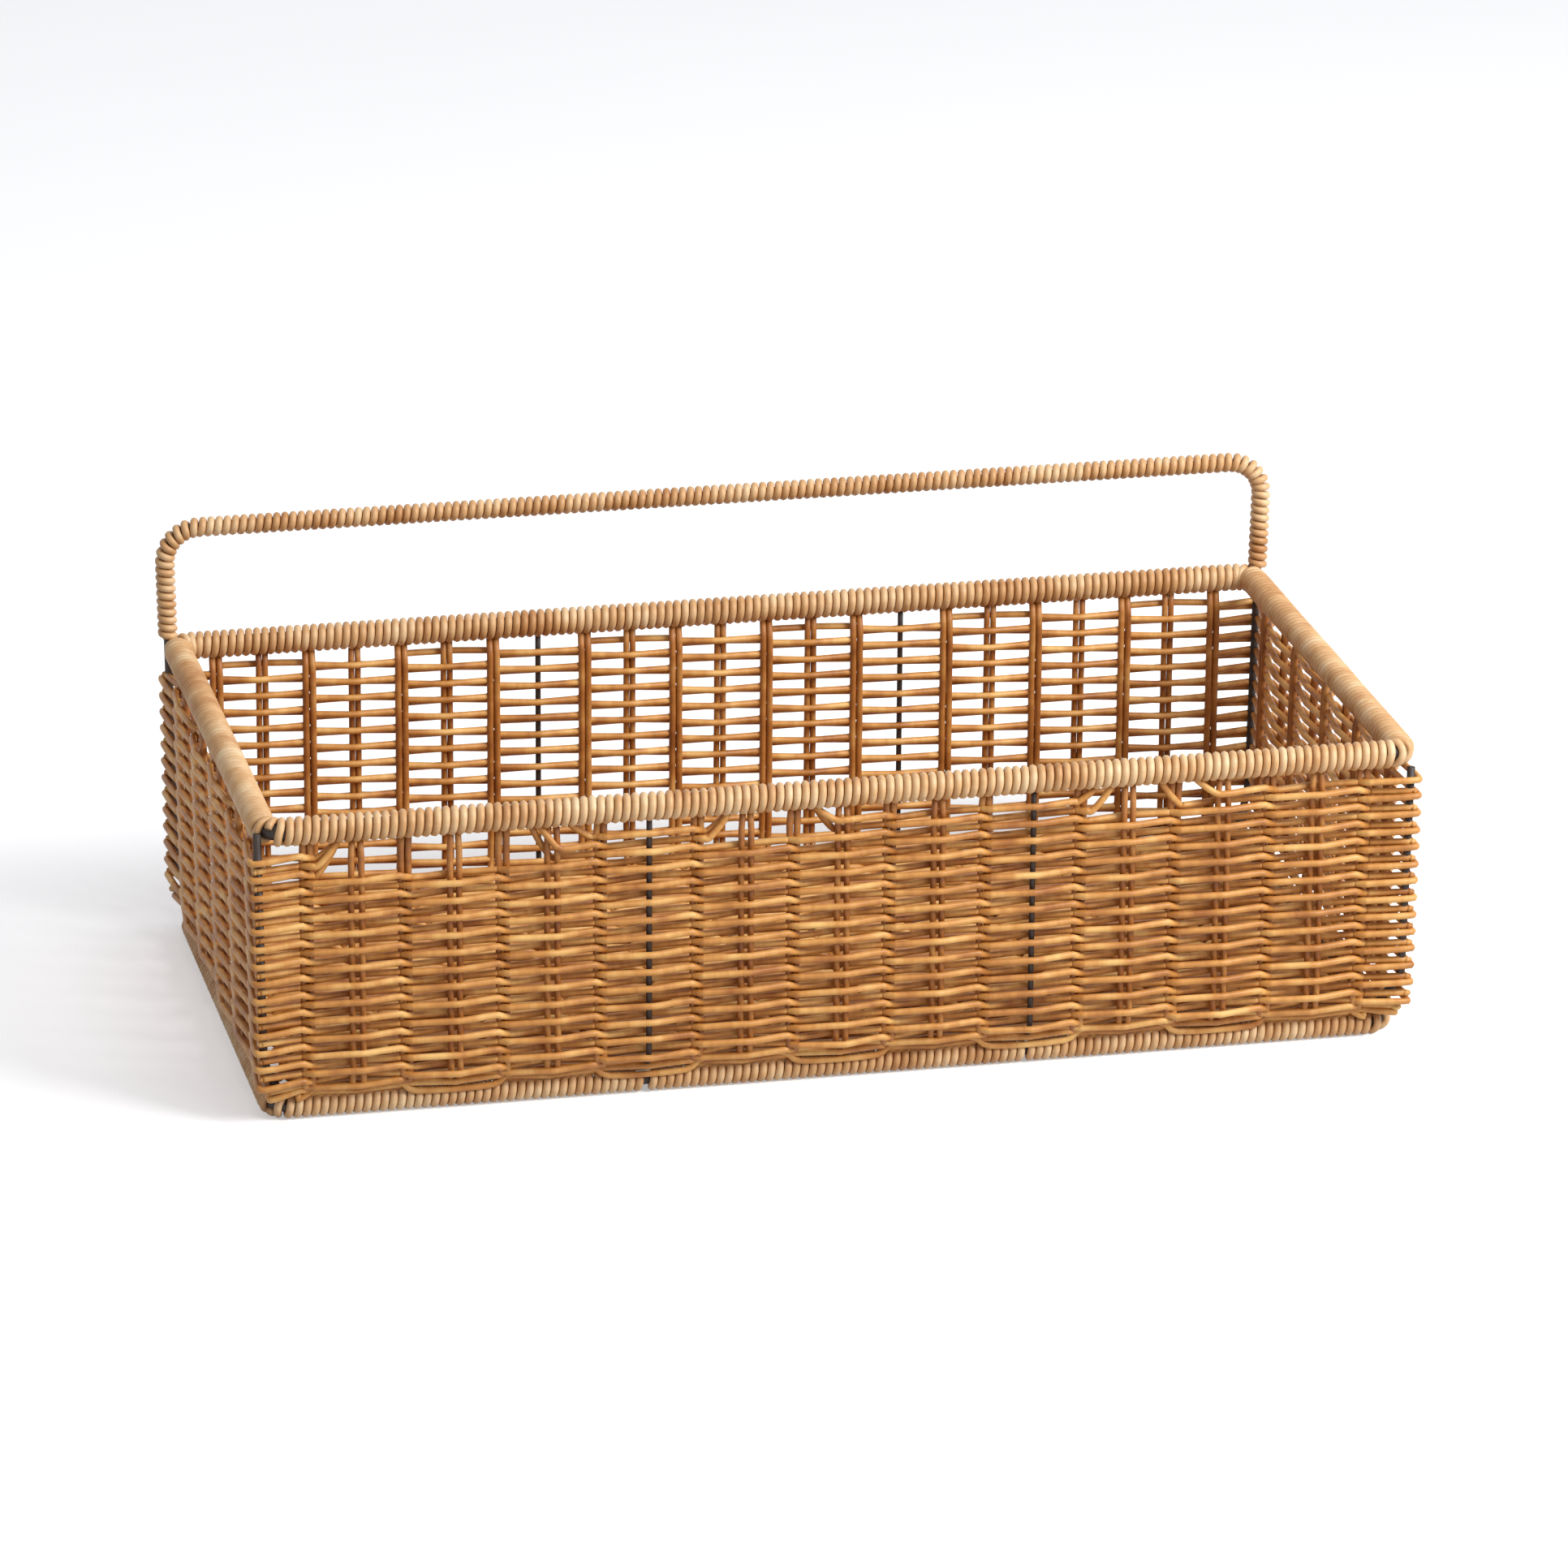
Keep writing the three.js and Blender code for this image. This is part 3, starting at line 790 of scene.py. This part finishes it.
def smooth(points, closed, steps):
    """A curve through the points, with a few steps between each two."""
    count = len(points)
    path = []
    for index in range(count if closed else count - 1):
        if closed:
            before, here, there, after = (points[(index + k) % count] for k in (-1, 0, 1, 2))
        else:
            before, here = points[max(index - 1, 0)], points[index]
            there, after = points[index + 1], points[min(index + 2, count - 1)]
        for step in range(steps):
            t = step / steps
            path.append(0.5 * (
                2 * here + (there - before) * t
                + (2 * before - 5 * here + 4 * there - after) * t * t
                + (3 * here - before - 3 * there + after) * t * t * t
            ))
    return path if closed else path + [points[-1]]


# Under the front rim the weave leaves openings, from and to a distance along the wall. The top
# rows end there, with their ends drawn up into the winding of the rim.
openings = {
    27: [(-176, -100)],
    28: [(-178, -98), (-43, -12), (86, 116)],
    29: [(-178, -95), (-46, -10), (82, 119)],
}
row_end_height = rim_height - rim_wire_radius - 1.5 * MM
row_end_reach = 7 * MM
row_end_bend = 4 * MM
row_end_kept = 0.6                     # the share of its way out that an end keeps half way up
weave_steps = 3


def drawn_up(place, direction):
    """The end of a row past its last place, up to the rim, from its tip."""
    wall, along, outward, height = place
    half_way_up = (height + row_end_height) / 2
    return [
        (wall, along + direction * row_end_reach, 0.0, row_end_height),
        (wall, along + direction * row_end_bend, outward * row_end_kept, half_way_up),
    ]


def row_mesh(number, stations):
    """One row as a closed ring, or as strands between the openings."""
    places = row_points(number, stations)
    if number not in openings:
        ring = smooth([on_wall(*place) for place in places], True, weave_steps)
        return [tube_mesh(ring, weft_radius, closed=True)]
    gaps = [(low * MM, high * MM) for low, high in openings[number]]
    parts = [[]]
    for wall, along, outward, height in places:
        if wall == "front" and any(low < along < high for low, high in gaps):
            if parts[-1]:
                parts.append([])
            continue
        parts[-1].append((wall, along, outward, height))
    if len(parts) > 1:
        parts[0] = parts.pop() + parts[0]
    meshes = []
    for part in parts:
        first, last = part[0], part[-1]
        run = [on_wall(*place) for place in drawn_up(first, -1) + part + drawn_up(last, 1)[::-1]]
        meshes.append(tube_mesh(smooth(run, False, weave_steps), weft_radius))
    return meshes


stations = round_stations()
course_count = 14
for course in range(1, course_count + 1):
    first = 2 * course - 1 if course > 1 else 0
    last = 2 * course if course < course_count else last_row
    meshes = []
    for number in range(first, last + 1):
        meshes += row_mesh(number, stations)
    node = "weft_row_%02d" % course
    make_piece(node + "_cane", meshes, weft_cane, [node], 60 + course)

# The floor: one more strand of the same cane, run to and fro along the basket in the same weave,
# and turned back at the foot of each end wall.
passes_per_gap = 6
pass_count = passes_per_gap * length_gaps - 2
pass_spacing = length_pitch / passes_per_gap
floor_end_gap = 4 * MM
floor_turn_reach = 0.4 * pass_spacing
floor_crossing_reach = 0.8 * stake_reach
floor_weave_steps = 2


def floor_strand():
    """The middle line of the floor cane."""
    reach = wall_length(floor_height) - wall_foot_radius - floor_end_gap
    points = []
    for number in range(pass_count):
        direction = 1 if number % 2 == 1 else -1
        y = (number + 1) * pass_spacing - wall_depth
        side = direction
        end = direction * reach
        points.append(Vector((-end, y, floor_height)))
        for index in range(1, cross_gaps):
            x = direction * (index * cross_pitch - rim_corner_length)
            if is_inner(index):
                for share in (-1, 0, 1):
                    height = floor_height - side * share * floor_crossing_reach
                    points.append(Vector((x + direction * share * crossing_half, y, height)))
                side = -side
            else:
                points.append(Vector((x, y, floor_height + side * stake_reach)))
        points.append(Vector((end, y, floor_height)))
        if number < pass_count - 1:
            turn_x = end + direction * floor_turn_reach
            points.append(Vector((turn_x, y + pass_spacing / 2, floor_height)))
    return smooth(points, False, floor_weave_steps)


make_piece(
    "floor_weave_cane",
    [tube_mesh(floor_strand(), weft_radius)],
    weft_cane, ["floor_weave"], 90,
)
